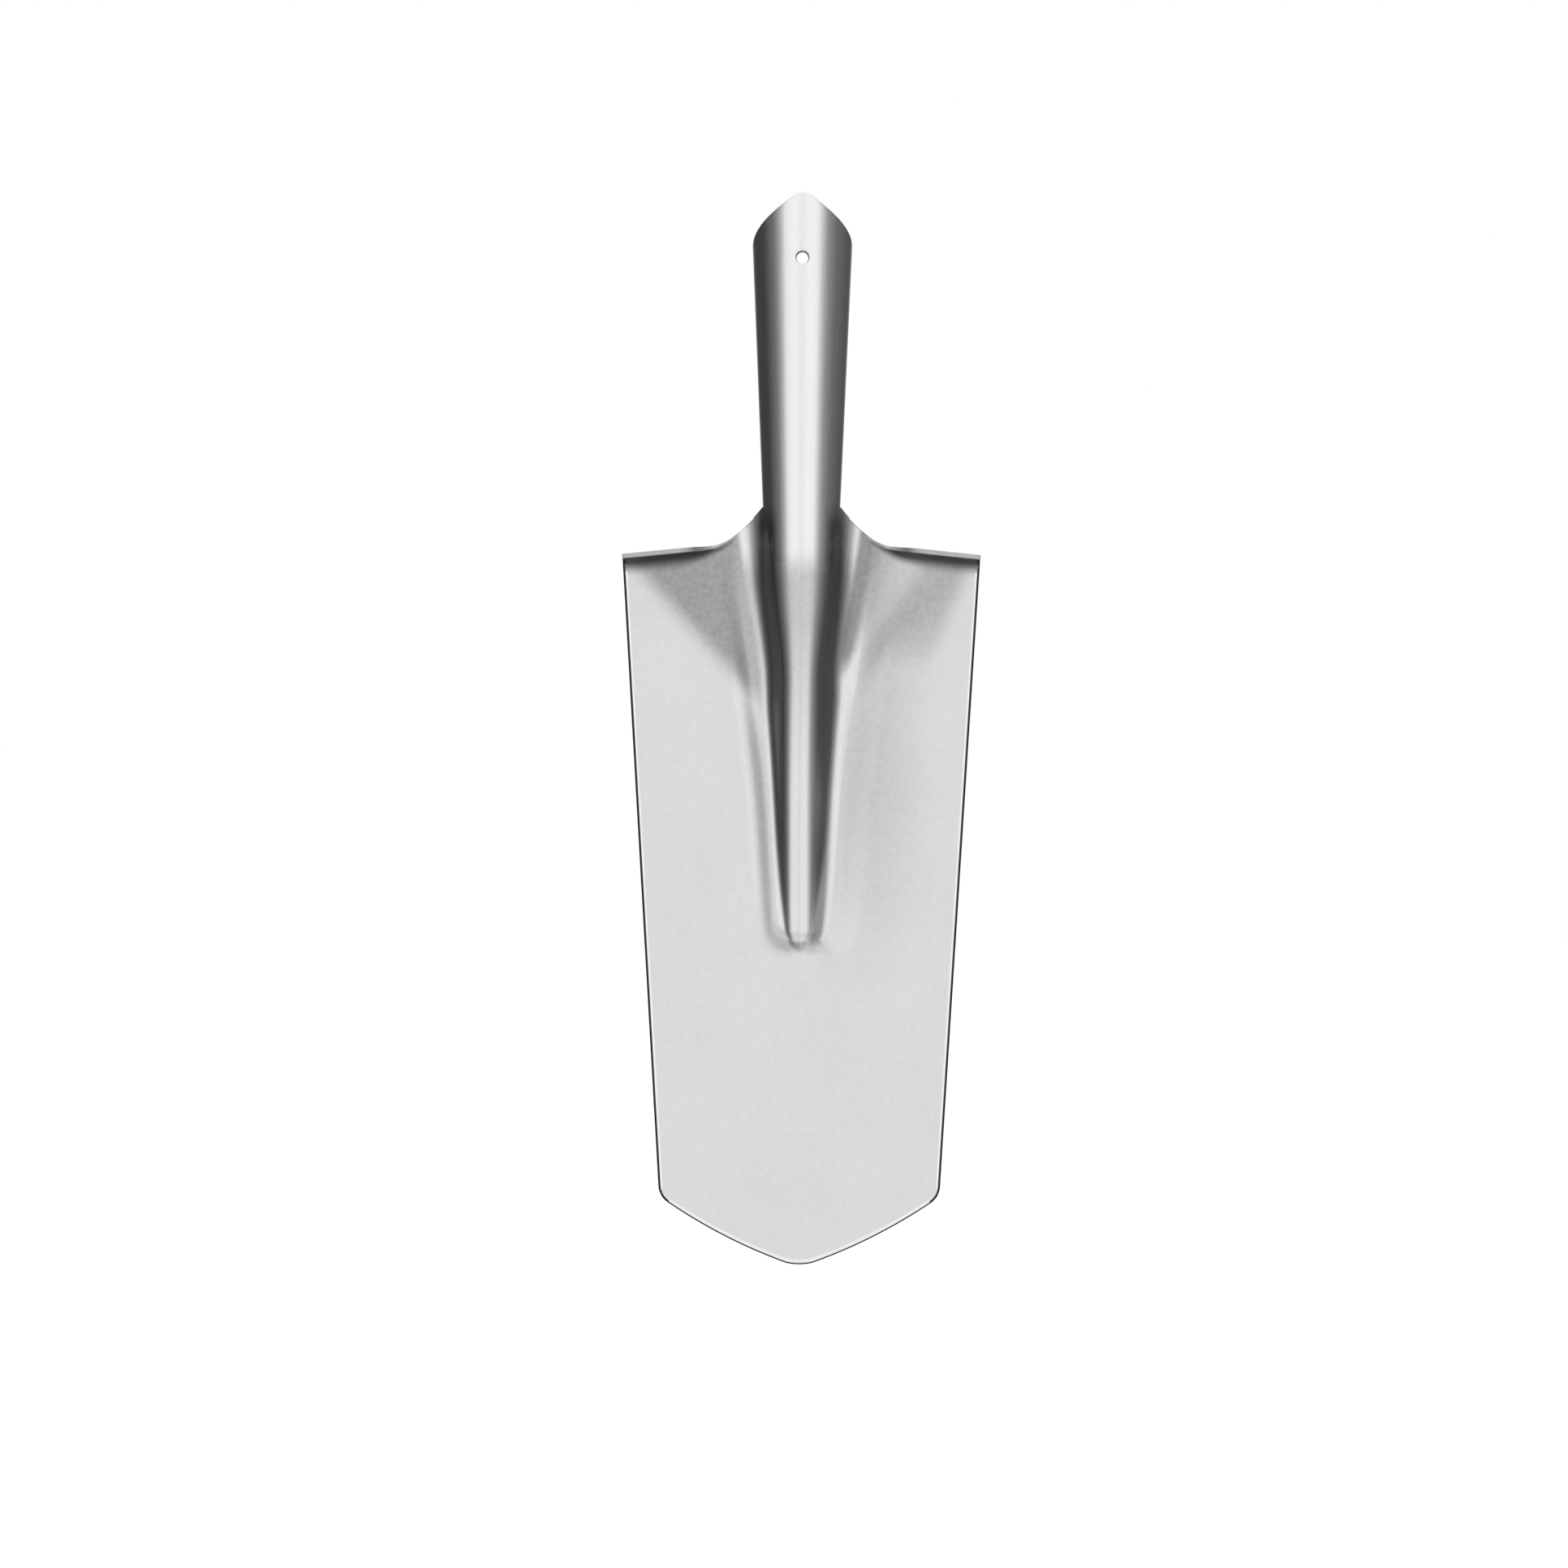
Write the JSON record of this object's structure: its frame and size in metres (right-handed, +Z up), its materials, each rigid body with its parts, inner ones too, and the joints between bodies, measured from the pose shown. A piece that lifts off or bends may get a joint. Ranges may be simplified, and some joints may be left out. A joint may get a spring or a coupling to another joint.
{
  "type": "trenching spade head",
  "caption": "Narrow pressed steel spade blade with a raised rib, turned treads and a blunt point, welded to a tapered tubular socket for a wooden handle.",
  "frame": {"origin": "centre of the socket's mouth, level with its rim at the back and sides", "axes": "+Z up along the socket's axis, the way the handle points; the front of the blade faces -Y; +X to the right, seen from the front"},
  "size_m": [0.1622, 0.0462, 0.484],
  "materials": {
    "blasted_steel": "matte, fine-grained, blasted",
    "brushed_socket_steel": "bright, brushed along the socket",
    "ground_weld": "ground flush"
  },
  "bodies": {
    "root": {"blade": "blasted_steel", "socket": "brushed_socket_steel", "neck_weld": "ground_weld", "wing_weld_left": "ground_weld", "wing_weld_right": "ground_weld", "seam_weld": "ground_weld"}
  },
  "joints": []
}
